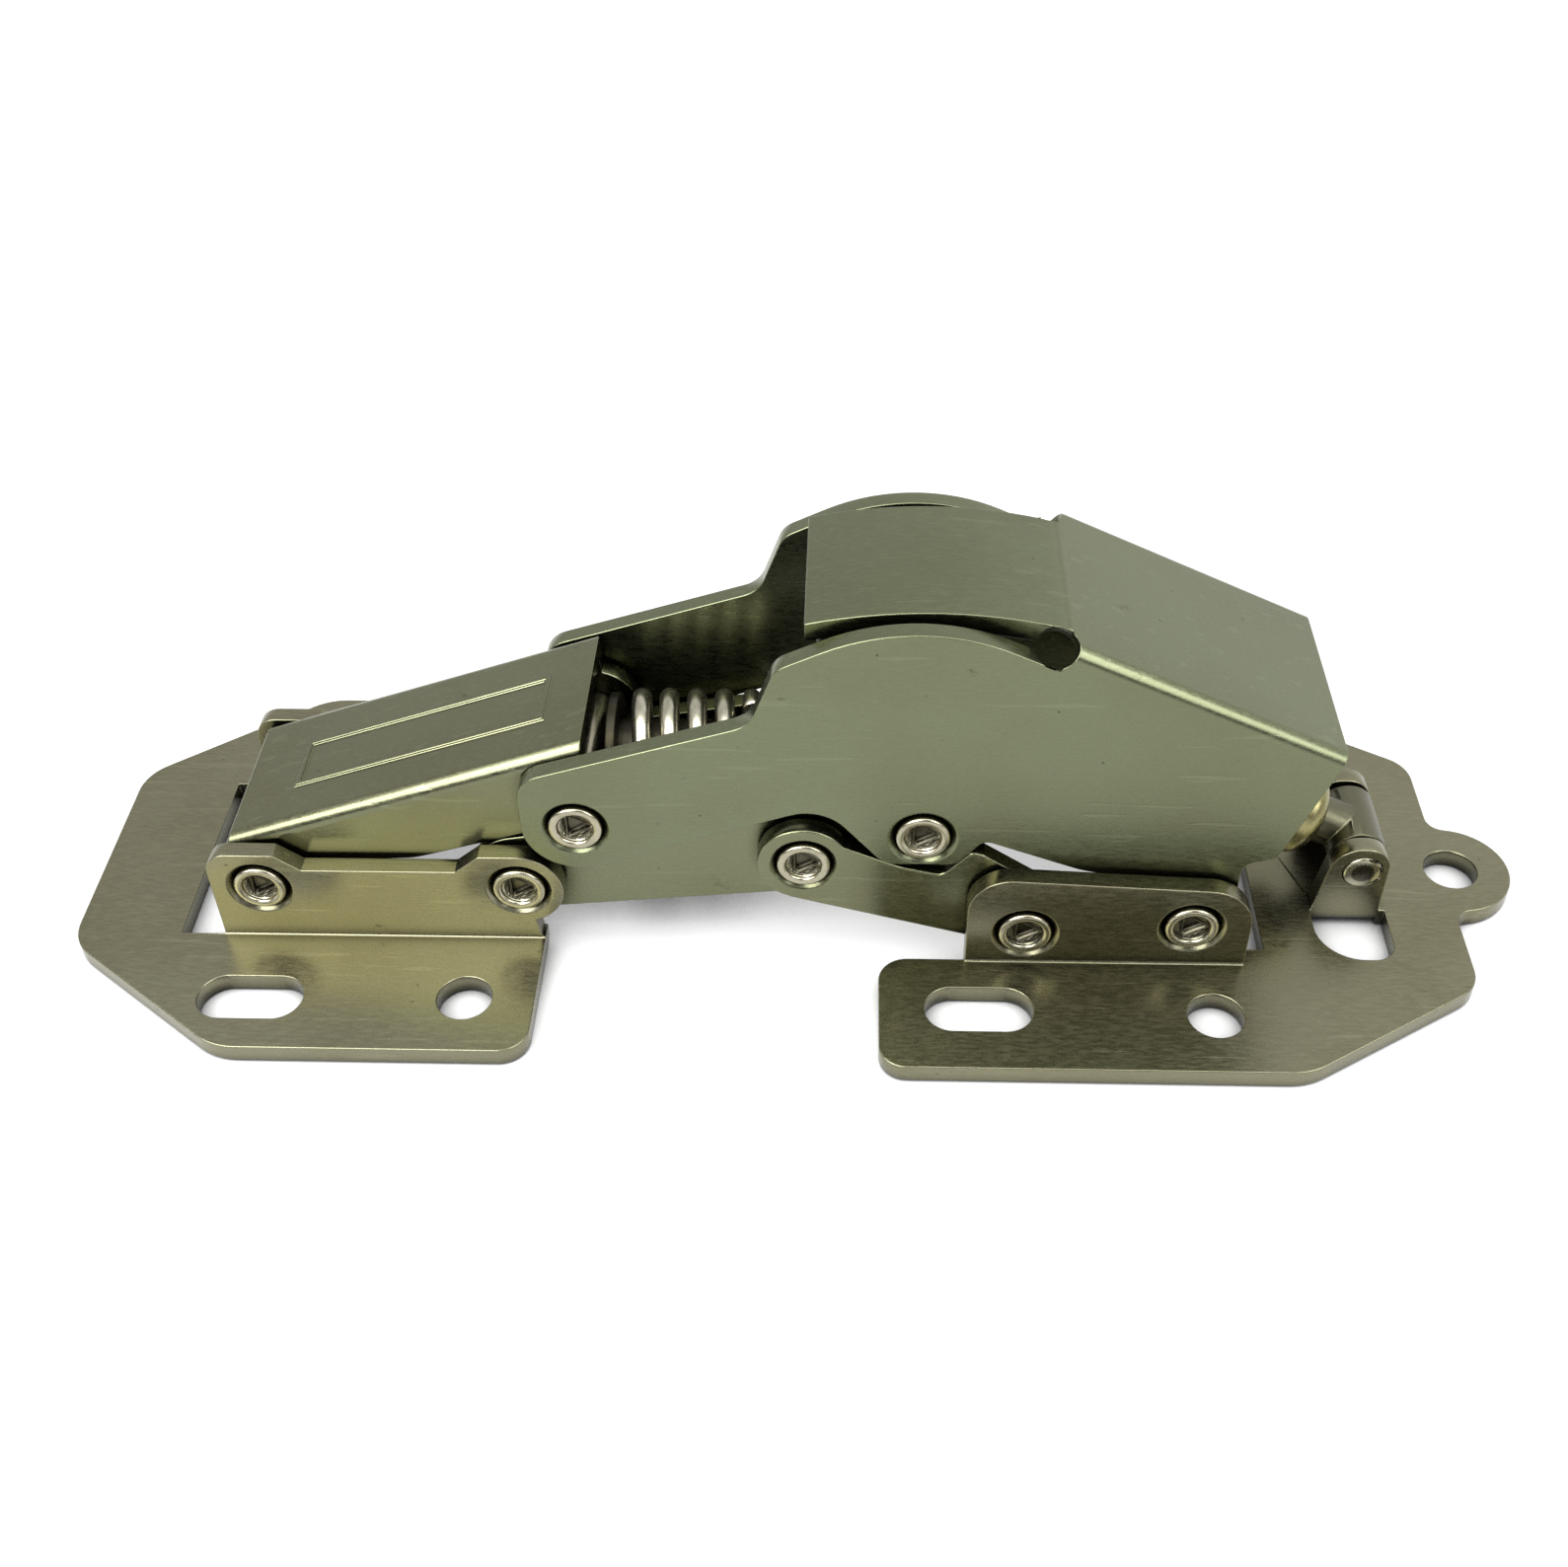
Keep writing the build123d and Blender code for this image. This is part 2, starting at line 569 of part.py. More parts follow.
def roof_wall_end():
    """Upper end corner of the wall, from the roof's end."""
    rise = -ROOF_WALL_SETBACK * tan(radians(roof_slope()))
    return -ROOF_WALL_SETBACK, rise - ROOF_WALL_DROP, 0


def roof_strip(thickness=SHEET):
    """Side view of the arched tongue and the sloping roof as one bent strip."""
    drop = Vector(0, -thickness)
    slope = radians(roof_slope())
    normal = Vector(-sin(slope), cos(slope))
    top = [Vector(*TONGUE_LEFT), Vector(*TONGUE_CROWN), Vector(*ROOF_CREASE), Vector(*ROOF_END)]
    crease = top[2] + (drop.normalized() - normal).normalized() * (thickness / cos(slope / 2))
    low = [top[0] + drop, top[1] + drop, crease, top[3] - normal * thickness]
    return make_face([
        ThreePointArc(top[0], top[1], top[2]),
        Line(top[2], top[3]),
        Line(top[3], low[3]),
        Line(low[3], low[2]),
        ThreePointArc(low[2], low[1], low[0]),
        Line(low[0], top[0]),
    ])


def main_arm():
    crease_x, crease_z = ROOF_CREASE
    tip_x, _ = ROOF_END
    slope = roof_slope()
    walls = both_sides(upright(arm_side(), ARM_INNER))
    reach = (tip_x - crease_x) / cos(radians(slope))
    roof = channel(ARM_OUTER, ROOF_SKIRT, ROOF_CREASE, slope, reach)
    tongue = across(roof_strip(), TONGUE_HALF_WIDTH)
    arm = walls + roof + tongue
    relief = Rot(X=RELIEF_TILT) * Cylinder(RELIEF_RADIUS, RELIEF_LENGTH)
    arm -= both_sides(Pos(SLIT_END[0], -RELIEF_FROM_MIDDLE, RELIEF_HEIGHT) * relief)
    for pivot in (COVER_ARM, LOWER_ARM):
        arm -= bore(pivot, RIVET_END_RADIUS + RIVETED_GAP)
        arm -= sink(pivot, ARM_OUTER)
    arm -= bore(ARM_DOOR, PIN_RADIUS + RUNNING_GAP)
    return arm


def setting_mark(pivot, face):
    """Tools for the round recess and three-sided mark in both ends of a rivet."""
    recess = upright(disc(pivot, RECESS_RADIUS), face - RECESS_DEPTH, RECESS_DEPTH + OVER)
    mark = upright(Pos(*pivot) * RegularPolygon(MARK_RADIUS, 3), face - MARK_DEPTH, MARK_DEPTH)
    return both_sides(recess + mark)


def through_rivet(pivot, inner):
    """Shouldered rivet right across the hinge, held in the sheets at a given layer."""
    face = inner + SHEET + RIVET_PROUD
    rivet = pin(pivot, PIN_RADIUS, -inner, inner)
    rivet += both_sides(pin(pivot, RIVET_END_RADIUS, -face, -inner))
    return rivet - setting_mark(pivot, face)


def stub_rivet(pivot):
    """Near one of a pair of short rivets that join a door ear to a sheet inside it."""
    foot = ARM_INNER - RUNNING_GAP
    face = EAR_OUTER + RIVET_PROUD
    rivet = pin(pivot, STUB_FOOT_RADIUS, -foot, -foot + STUB_FOOT_HEIGHT)
    rivet += pin(pivot, PIN_RADIUS, -EAR_INNER, -foot)
    rivet += pin(pivot, RIVET_END_RADIUS, -face, -EAR_INNER)
    return rivet - setting_mark(pivot, face)


def damper_pin():
    end = DAMPER_EAR_INNER + SHEET + RIVET_PROUD
    return pin(DAMPER_DOOR, DAMPER_PIN_RADIUS, -DAMPER_EAR_INNER, DAMPER_EAR_INNER) + both_sides(
        pin(DAMPER_DOOR, DAMPER_PIN_END_RADIUS, -end, -DAMPER_EAR_INNER)
    )


def along_x(radius, left, right):
    """Round bar on the spring's axis."""
    return Pos((left + right) / 2, 0, SPRING_AXIS_Z) * Rot(Y=90) * Cylinder(radius, right - left)


def coil_spring():
    """Wire of many-sided section, lofted straight from step to step round the coil."""
    left = SEAT_LEFT + SEAT_THICKNESS + WIRE_RADIUS
    right = SPRING_HEAD_RIGHT - SPRING_HEAD_THICKNESS - WIRE_RADIUS
    rise = (right - left) / (2 * pi * SPRING_TURNS)
    sections = []
    for i in range(round(SPRING_TURNS * STEPS_PER_TURN) + 1):
        turn = 2 * pi * i / STEPS_PER_TURN
        outwards = Vector(cos(turn), sin(turn), 0)
        along = Vector(-SPRING_RADIUS * sin(turn), SPRING_RADIUS * cos(turn), rise)
        place = outwards * SPRING_RADIUS + Vector(0, 0, rise * turn)
        sections.append(Plane(place, x_dir=outwards, z_dir=along) * RegularPolygon(WIRE_RADIUS, WIRE_SIDES))
    return Pos(left, 0, SPRING_AXIS_Z) * Rot(Y=90) * loft(sections, ruled=True)


def spring_seat():
    seat = along_x(SEAT_RADIUS, SEAT_LEFT, SEAT_LEFT + SEAT_THICKNESS)
    return seat - along_x(GUIDE_RADIUS + RUNNING_GAP, SEAT_LEFT - OVER, SEAT_LEFT + OVER)


def spring_rod():
    head_left = SPRING_HEAD_RIGHT - SPRING_HEAD_THICKNESS
    rod = along_x(GUIDE_RADIUS, SEAT_LEFT, SPRING_HEAD_RIGHT)
    return rod + along_x(SPRING_HEAD_RADIUS, head_left, SPRING_HEAD_RIGHT)


def damper_axis():
    """Plane at the damper's pin with its normal along the damper."""
    x, z = DAMPER_DOOR
    run = (cos(radians(DAMPER_SLOPE)), 0, sin(radians(DAMPER_SLOPE)))
    return Plane((x, 0, z), x_dir=(0, 1, 0), z_dir=run)


def on_damper(radius, start, end):
    """Round bar on the damper's axis."""
    return damper_axis() * Pos(0, 0, (start + end) / 2) * Cylinder(radius, end - start)


def damper_eye():
    flange = CYLINDER_START + CYLINDER_END_WALL + RIVETED_GAP
    eye = pin(DAMPER_DOOR, EYE_RADIUS, -EYE_HALF_WIDTH, EYE_HALF_WIDTH)
    eye += on_damper(NECK_RADIUS, 0, flange)
    eye += on_damper(CYLINDER_BORE, flange, flange + PLUG_LENGTH)
    return eye - bore(DAMPER_DOOR, DAMPER_PIN_RADIUS + RUNNING_GAP)


def damper_cylinder():
    tube = on_damper(CYLINDER_RADIUS, CYLINDER_START, CYLINDER_END)
    end = tube.edges().filter_by(GeomType.CIRCLE).sort_by(Axis.X)[-1]
    tube = fillet(end, CYLINDER_ROUND)
    tube -= on_damper(NECK_RADIUS + RIVETED_GAP, CYLINDER_START - OVER, CYLINDER_END)
    return tube - on_damper(
        CYLINDER_BORE + RIVETED_GAP, CYLINDER_START + CYLINDER_END_WALL, CYLINDER_END
    )


def damper_cap():
    cap = on_damper(CYLINDER_RADIUS, CYLINDER_END, CYLINDER_END + CAP_LENGTH)
    cap += on_damper(CYLINDER_BORE, CYLINDER_END - CAP_LENGTH, CYLINDER_END)
    return cap - on_damper(ROD_RADIUS + RUNNING_GAP, 0, TIP_END)


def damper_rod():
    return on_damper(ROD_RADIUS, PISTON_START, TIP_END - TIP_LENGTH / 2)


def damper_piston():
    piston = on_damper(CYLINDER_BORE - RUNNING_GAP, PISTON_START, PISTON_START + PISTON_LENGTH)
    return piston - on_damper(ROD_RADIUS + RIVETED_GAP, 0, TIP_END)


def damper_tip():
    taper = damper_axis() * Pos(0, 0, TIP_END - TIP_TAPER / 2) * Cone(TIP_RADIUS, TIP_FACE_RADIUS, TIP_TAPER)
    tip = on_damper(TIP_RADIUS, TIP_END - TIP_LENGTH, TIP_END - TIP_TAPER) + taper
    return tip - on_damper(ROD_RADIUS + RIVETED_GAP, 0, TIP_END - TIP_LENGTH / 2)


def damper_socket():
    """Moulded block under the tongue that the damper's tip pushes against."""
    face = (damper_axis() * Pos(0, 0, TIP_END + SOCKET_GAP)).position
    lean = tan(radians(180 - DAMPER_SLOPE))
    side = rounded_face([
        (SOCKET_LEFT, SOCKET_BOTTOM, SOCKET_ROUND),
        (SOCKET_LEFT, SOCKET_TOP, SOCKET_ROUND),
        (face.X + lean * (SOCKET_TOP - face.Z), SOCKET_TOP, 0),
        (face.X - lean * (face.Z - SOCKET_BOTTOM), SOCKET_BOTTOM, 0),
    ])
    return across(side, ARM_INNER - SOCKET_SIDE_GAP)


def far(solid):
    return mirror(solid, about=Plane.XZ)


NODES = {
    "cabinet_plate": cabinet_plate(),
    "door_plate": door_plate(),
    "cover_link": cover_link(),
    "lower_link": lower_link(),
    "short_link_near": short_link(),
    "short_link_far": far(short_link()),
    "main_arm": main_arm(),
    "cover_root_rivet": through_rivet(COVER_ROOT, ARM_INNER),
    "lower_root_rivet": through_rivet(LOWER_ROOT, ARM_INNER),
    "cover_arm_rivet": through_rivet(COVER_ARM, ARM_INNER),
    "lower_arm_rivet": through_rivet(LOWER_ARM, ARM_INNER),
    "short_lower_rivet": through_rivet(SHORT_LOWER, ARM_INNER),
    "short_door_rivet_near": stub_rivet(SHORT_DOOR),
    "short_door_rivet_far": far(stub_rivet(SHORT_DOOR)),
    "arm_door_rivet_near": stub_rivet(ARM_DOOR),
    "arm_door_rivet_far": far(stub_rivet(ARM_DOOR)),
    "damper_pin": damper_pin(),
    "coil_spring": coil_spring(),
    "spring_seat": spring_seat(),
    "spring_rod": spring_rod(),
    "damper_eye": damper_eye(),
    "damper_cylinder": damper_cylinder(),
    "damper_cap": damper_cap(),
    "damper_rod": damper_rod(),
    "damper_piston": damper_piston(),
    "damper_tip": damper_tip(),
    "damper_socket": damper_socket(),
}

os.makedirs("parts", exist_ok=True)
for name, solid in NODES.items():
    export_step(Pos(CENTRE_X, 0, 0) * solid, f"parts/{name}.step")
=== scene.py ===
import math
from typing import NamedTuple

import bpy
from mathutils import Matrix, Vector


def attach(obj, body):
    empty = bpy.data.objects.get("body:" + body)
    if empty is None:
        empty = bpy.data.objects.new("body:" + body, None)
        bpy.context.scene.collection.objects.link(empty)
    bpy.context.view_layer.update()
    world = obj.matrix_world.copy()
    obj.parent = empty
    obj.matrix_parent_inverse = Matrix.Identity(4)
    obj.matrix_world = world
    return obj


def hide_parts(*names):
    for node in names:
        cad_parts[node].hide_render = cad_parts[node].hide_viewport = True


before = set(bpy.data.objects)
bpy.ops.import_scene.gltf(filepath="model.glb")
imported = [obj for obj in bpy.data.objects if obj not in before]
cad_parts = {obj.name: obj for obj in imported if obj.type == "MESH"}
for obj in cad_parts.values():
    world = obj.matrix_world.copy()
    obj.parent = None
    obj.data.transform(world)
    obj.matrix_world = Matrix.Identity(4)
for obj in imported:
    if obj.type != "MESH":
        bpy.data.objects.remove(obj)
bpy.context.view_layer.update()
MM = 0.001


class Pattern(NamedTuple):
    """Noise in space, with lengths in millimetres, that can be stretched and turned."""
    scale: float
    detail: float
    rough: float = 0.55
    stretch: tuple = (1, 1, 1)
    turn: tuple = (0, 0, 0)

    def swung(self, angle):
        """The same pattern, turned further about Y."""
        x, y, z = self.turn
        return self._replace(turn=(x, y + angle, z))


class Fade(NamedTuple):
    """Ramp between two values while its input goes from low to high."""
    low: float
    high: float
    start: float = 0.0
    end: float = 1.0


class Lamp(NamedTuple):
    place: tuple
    size: tuple
    power: float


# Camera of the photograph
CAMERA_PLACE = Vector((4.25, -104.5, 104.8)) * MM
CAMERA_YAW = math.radians(-2.93)
CAMERA_PITCH = math.radians(42.16)
CAMERA_ROLL = math.radians(1.40)
CAMERA_LENS = 41.53
CAMERA_NEAR = 5 * MM

# Finishes, as linear colours
PLATE_NICKEL = (0.199, 0.192, 0.128)
ARM_NICKEL = (0.144, 0.158, 0.095)
COVER_NICKEL = (0.154, 0.160, 0.098)
LINK_NICKEL = (0.150, 0.158, 0.094)
RIVET_NICKEL = (0.360, 0.340, 0.250)
SPRING_STEEL = (0.460, 0.440, 0.350)
DARK_STEEL = (0.030, 0.028, 0.020)
DAMPER_BRASS = (0.255, 0.232, 0.112)
EYE_STEEL = (0.112, 0.109, 0.071)
BLACK_PLASTIC = (0.012, 0.012, 0.010)
TARNISH = (0.090, 0.075, 0.034)
# dark colour for pits and scuffs, and for painted shade in corners, hollows and rivet recesses
GRIME_AND_SHADE = (0.014, 0.012, 0.006)
WHITE = (1, 1, 1, 1)

# Nickel over rolled sheet
DRIFT, DRIFT_FADE = Pattern(0.06, 2.0), Fade(0.38, 0.70, 0.0, 0.30)
GRAIN, GRAIN_FADE = Pattern(4.5, 4.0, 0.65, stretch=(0.22, 1, 1)), Fade(0.42, 0.72, 0.0, 0.35)
SCRATCH = Pattern(1.6, 2.0, 0.4, stretch=(0.06, 1, 1), turn=(0.5, 0.6, 0.7))
SCRATCH_FADE = Fade(0.66, 0.68, 0.0, 0.5)
# dark patches: partly scuffs, partly painted reflection of dark surroundings
SCUFF_AND_DARK_REFLECTION, SCUFF_AND_DARK_REFLECTION_FADE = Pattern(0.55, 6.0, 0.7, stretch=(0.5, 1, 1), turn=(0.2, 0.3, 1.1)), Fade(0.665, 0.70)
PEEL = Pattern(5.0, 3.0, 0.6)
SHEEN = 1.22                   # bright grain and scratches, as a multiple of the colour
PIT_SCALE, PIT_RADIUS, PIT_CORE = 0.55, 0.07, 0.4
PIT_SHARE, PIT_SOFTNESS = 0.3, 0.02
GRAIN_HEIGHT, PEEL_HEIGHT, SCRATCH_DEPTH = 0.14, 0.30, 0.5
PIT_ROUGHNESS = 0.3

# Wire, round parts and plastic
DRAW_LINES, DRAW_FADE = Pattern(3.0, 3.0, stretch=(1, 0.3, 0.3)), Fade(0.35, 0.8, 0.0, 0.6)
TOOL_MARKS = Pattern(2.4, 3.0, stretch=(2.2, 0.25, 2.2))
STAIN, STAIN_FADE = Pattern(0.6, 3.0), Fade(0.5, 0.8, 0.0, 0.4)
PORES = Pattern(6.0, 3.0)
PORE_LIGHT = 2.0               # multiple of the plastic's colour
RIVET_RECESS_SHADE = 0.8               # painted shade in the middle of a rivet's ends, where the recess is
RECESS_SHADE_FADE = Fade(0.54, 0.64)   # over the share of the radius

# Painted shade in corners and hollows: reach in millimetres, and how much for how open a point is
CORNER_SHADE = 1.6, Fade(0.35, 0.85, 0.6, 0.0)
INNER_SHADE = 14.0, Fade(0.15, 0.50, 0.65, 0.0)
ROUND_SHADE = 0.7, Fade(0.3, 0.9, 0.85, 0.0)
OPENNESS_SAMPLES = 10

# Roughness swings about a finish's own, below and above it, over this range of the pattern
ROUGH_FROM, ROUGH_TO = 0.3, 0.7
SHEET_SWING = 0.05, 0.06
TURNED_SWING = 0.04, 0.08
WIRE_ROUGHNESS, WIRE_SWING = 0.22, (0.0, 0.10)
PLASTIC_ROUGHNESS, PLASTIC_SWING = 0.45, (0.0, 0.15)
BUMP_DEPTH = 0.05 * MM
SHEET_BUMP, WIRE_BUMP, TURNED_BUMP, PLASTIC_BUMP = 0.30, 0.08, 0.10, 0.10

# Light
FLOOR_SIZE = 6.0
FLOOR_DROP = 0.2 * MM
FLOOR_ROUGHNESS = 0.9
FLOOR_GREY = (0.30, 0.30, 0.30)
# painted shadow: the floor's colour where the hinge encloses it
FLOOR_PAINTED_SHADOW = (0.02, 0.02, 0.02)
FLOOR_LIFT = 0.50              # added white where the camera or a reflection sees open floor
FLOOR_SHADE_REACH = 12         # how far up the hinge reaches for the painted shadow on the floor under it, in mm
FLOOR_SHADOW_FADE = Fade(0.20, 0.55)
SEEN_RAYS = ("Is Camera Ray", "Is Glossy Ray", "Is Transmission Ray")
SKY = {                        # ramps of brightness over the direction's parts
    "X": Fade(-0.75, 0.75, 0.70, 1.02),
    "Y": Fade(-0.60, 0.30, 0.22, 1.00),
    "Z": Fade(0.20, 0.72, 1.28, 1.12),
}
LAMP_TARGET = Vector((0, 0, 12)) * MM
LAMPS = {
    "key": Lamp((-0.25, -0.28, 0.33), (0.48, 0.30), 4.6),
    "fill": Lamp((0.34, -0.24, 0.28), (0.30, 0.25), 1.3),
    "overhead": Lamp((0, -0.05, 0.50), (1.00, 0.36), 5.0),
}

# Coil, as in the CAD model
COIL_START = Vector((-12.80, 0, 13.2)) * MM
COIL_LENGTH = 9.5 * MM
COIL_RADIUS = 4.2 * MM
COIL_WIRE = 0.75 * MM
COIL_TURNS = 4.5
COIL_STEPS = 48                # per turn
WIRE_SIDES = 16

# Edges
COMMON_EDGE = 0.14 * MM
EDGE_ROUND = {"plate": 0.08 * MM, "arm": 0.10 * MM, "rivet": 0.20 * MM}
EDGE_SEGMENTS = 2
FINE_WELD = 0.002 * MM
WELD_REACH = {"plate": 0.18 * MM, "arm": 0.08 * MM}    # joins the short facets of tight bends
SHARP_ANGLE = math.radians(32)
FLAT_ANGLE = math.radians(0.3)
FACE_STRENGTH = "__mod_weightednormals_faceweight"     # layer that the weighted normals read
STRONG, MEDIUM = 16384, 0


class Nodes:
    """Short way to add shader nodes to a material or a world."""

    def __init__(self, owner, shader="Principled BSDF"):
        owner.use_nodes = True
        self.tree = owner.node_tree
        self.shader = self.tree.nodes[shader]

    def add(self, kind, inputs=None, **settings):
        node = self.tree.nodes.new(kind)
        for key, value in settings.items():
            setattr(node, key, value)
        for key, value in (inputs or {}).items():
            self.put(node.inputs[key], value)
        return node

    def put(self, socket, value):
        if isinstance(value, bpy.types.NodeSocket):
            self.tree.links.new(value, socket)
        else:
            socket.default_value = value

    def finish(self, **inputs):
        """Sets inputs of the shader, named with underscores for spaces."""
        for key, value in inputs.items():
            self.put(self.shader.inputs[key.replace("_", " ")], value)

    def place(self, stretch=(1, 1, 1), turn=(0, 0, 0)):
        """Object coordinates in millimetres, stretched and turned."""
        source = self.add("ShaderNodeTexCoord").outputs["Object"]
        sized = tuple(s / MM for s in stretch)
        inputs = {"Vector": source, "Scale": sized, "Rotation": turn}
        return self.add("ShaderNodeMapping", inputs).outputs["Vector"]

    def noise(self, pattern):
        inputs = {
            "Vector": self.place(pattern.stretch, pattern.turn),
            "Scale": pattern.scale, "Detail": pattern.detail, "Roughness": pattern.rough,
        }
        return self.add("ShaderNodeTexNoise", inputs).outputs["Fac"]

    def step(self, value, fade, shape="LINEAR"):
        inputs = {
            "Value": value, "From Min": fade.low, "From Max": fade.high,
            "To Min": fade.start, "To Max": fade.end,
        }
        return self.add("ShaderNodeMapRange", inputs, interpolation_type=shape).outputs["Result"]

    def blend(self, amount, first, second):
        node = self.add("ShaderNodeMix", data_type="RGBA")
        self.put(node.inputs["Factor"], amount)
        for socket, value in ((node.inputs[6], first), (node.inputs[7], second)):
            self.put(socket, (*value, 1.0) if isinstance(value, tuple) else value)
        return node.outputs[2]

    def maths(self, operation, first, second):
        return self.add("ShaderNodeMath", {0: first, 1: second}, operation=operation).outputs[0]

    def pits(self, amount):
        """Small round dots in a share of the cells of a scattered pattern."""
        cell = self.add("ShaderNodeTexVoronoi", {"Vector": self.place(), "Scale": PIT_SCALE})
        chance = self.add("ShaderNodeSeparateColor", {"Color": cell.outputs["Color"]}).outputs["Red"]
        near = self.step(cell.outputs["Distance"], Fade(PIT_RADIUS, PIT_RADIUS * PIT_CORE, 0.0, amount))
        chosen = self.step(chance, Fade(PIT_SHARE, PIT_SHARE - PIT_SOFTNESS))
        return self.maths("MULTIPLY", near, chosen)

    def middle(self, amount):
        """Spot about the middle of a pin that lies along Y, in the inner part of its radius."""
        box = self.add("ShaderNodeTexCoord").outputs["Generated"]
        centred = {"Vector": box, "Location": (-1, 0, -1), "Scale": (2, 0, 2)}
        place = self.add("ShaderNodeMapping", centred).outputs["Vector"]
        away = self.add("ShaderNodeVectorMath", {0: place}, operation="LENGTH").outputs["Value"]
        return self.step(away, RECESS_SHADE_FADE._replace(start=amount, end=0.0))

    def openness(self, reach):
        """How free of other surfaces a point is within a reach in millimetres."""
        inputs = {"Distance": reach * MM}
        return self.add("ShaderNodeAmbientOcclusion", inputs, samples=OPENNESS_SAMPLES).outputs["AO"]

    def painted_shade(self, colour, reach, fade):
        """The colour, with painted shade where other surfaces are near."""
        return self.blend(self.step(self.openness(reach), fade), colour, GRIME_AND_SHADE)

    def roughness(self, pattern, middle, swing):
        below, above = swing
        return self.step(pattern, Fade(ROUGH_FROM, ROUGH_TO, middle - below, middle + above))

    def bump(self, height, strength):
        inputs = {"Height": height, "Strength": strength, "Distance": BUMP_DEPTH}
        return self.add("ShaderNodeBump", inputs).outputs["Normal"]


def new_material(name):
    material = bpy.data.materials.new(name)
    return material, Nodes(material)


def plated_steel(name, colour, roughness, specks=0.5, scuffs_and_dark_reflections=0.3, grain_turn=0.0):
    """Nickel over rolled sheet: drifting tarnish, rolling grain, fine scratches, dark patches that are
    partly scuffs and partly painted reflection, dark pits, and painted shade in corners and inside the
    hinge.
    """
    material, nodes = new_material(name)
    grain = nodes.noise(GRAIN.swung(grain_turn))
    scratch = nodes.step(nodes.noise(SCRATCH.swung(grain_turn)), SCRATCH_FADE)
    pit = nodes.pits(specks)

    light = tuple(c * SHEEN for c in colour)
    worn_and_shaded = nodes.blend(nodes.step(nodes.noise(DRIFT), DRIFT_FADE), colour, TARNISH)
    worn_and_shaded = nodes.blend(nodes.step(grain, GRAIN_FADE), worn_and_shaded, light)
    worn_and_shaded = nodes.blend(scratch, worn_and_shaded, light)
    # dark patches: partly scuffs, partly painted reflection of dark surroundings
    worn_and_shaded = nodes.blend(nodes.step(nodes.noise(SCUFF_AND_DARK_REFLECTION), SCUFF_AND_DARK_REFLECTION_FADE._replace(end=scuffs_and_dark_reflections)), worn_and_shaded, GRIME_AND_SHADE)
    worn_and_shaded = nodes.blend(pit, worn_and_shaded, GRIME_AND_SHADE)
    # painted shade in corners and inside the hinge, from how enclosed each point is
    worn_and_shaded = nodes.painted_shade(worn_and_shaded, *CORNER_SHADE)
    worn_and_shaded = nodes.painted_shade(worn_and_shaded, *INNER_SHADE)

    relief = nodes.maths(
        "ADD",
        nodes.maths("MULTIPLY", grain, GRAIN_HEIGHT),
        nodes.maths("MULTIPLY", nodes.noise(PEEL), PEEL_HEIGHT),
    )
    relief = nodes.maths("SUBTRACT", relief, nodes.maths("MULTIPLY", scratch, SCRATCH_DEPTH))
    relief = nodes.maths("SUBTRACT", relief, pit)
    dull = nodes.maths("MULTIPLY", pit, PIT_ROUGHNESS)
    nodes.finish(
        Base_Color=worn_and_shaded, Metallic=1.0,
        Roughness=nodes.maths("ADD", nodes.roughness(grain, roughness, SHEET_SWING), dull),
        Normal=nodes.bump(relief, SHEET_BUMP),
    )
    return material


def drawn_wire(name, colour):
    """Polished spring wire with faint draw lines."""
    material, nodes = new_material(name)
    lines = nodes.noise(DRAW_LINES)
    nodes.finish(
        Base_Color=nodes.blend(nodes.step(lines, DRAW_FADE), colour, TARNISH), Metallic=1.0,
        Roughness=nodes.roughness(lines, WIRE_ROUGHNESS, WIRE_SWING),
        Normal=nodes.bump(lines, WIRE_BUMP),
    )
    return material


def turned_metal(name, colour, roughness, recess_shade=None):
    """Turned or drawn round part with fine tool marks, a little tarnish, painted shade where other parts
    are near and, for rivets, painted shade in the recessed middle of the ends.
    """
    material, nodes = new_material(name)
    marks = nodes.noise(TOOL_MARKS)
    worn_and_shaded = nodes.blend(nodes.step(nodes.noise(STAIN), STAIN_FADE), colour, TARNISH)
    # painted shade where other parts are near
    worn_and_shaded = nodes.painted_shade(worn_and_shaded, *ROUND_SHADE)
    # painted shade in the recessed middle of rivet ends
    if recess_shade:
        worn_and_shaded = nodes.blend(nodes.middle(recess_shade), worn_and_shaded, GRIME_AND_SHADE)
    nodes.finish(
        Base_Color=worn_and_shaded, Metallic=1.0,
        Roughness=nodes.roughness(marks, roughness, TURNED_SWING),
        Normal=nodes.bump(marks, TURNED_BUMP),
    )
    return material


def moulded_plastic(name, colour):
    """Matt plastic with fine pores."""
    material, nodes = new_material(name)
    pores = nodes.noise(PORES)
    light = tuple(c * PORE_LIGHT for c in colour)
    nodes.finish(
        Base_Color=nodes.blend(pores, colour, light),
        Roughness=nodes.roughness(pores, PLASTIC_ROUGHNESS, PLASTIC_SWING),
        Normal=nodes.bump(pores, PLASTIC_BUMP),
    )
    return material


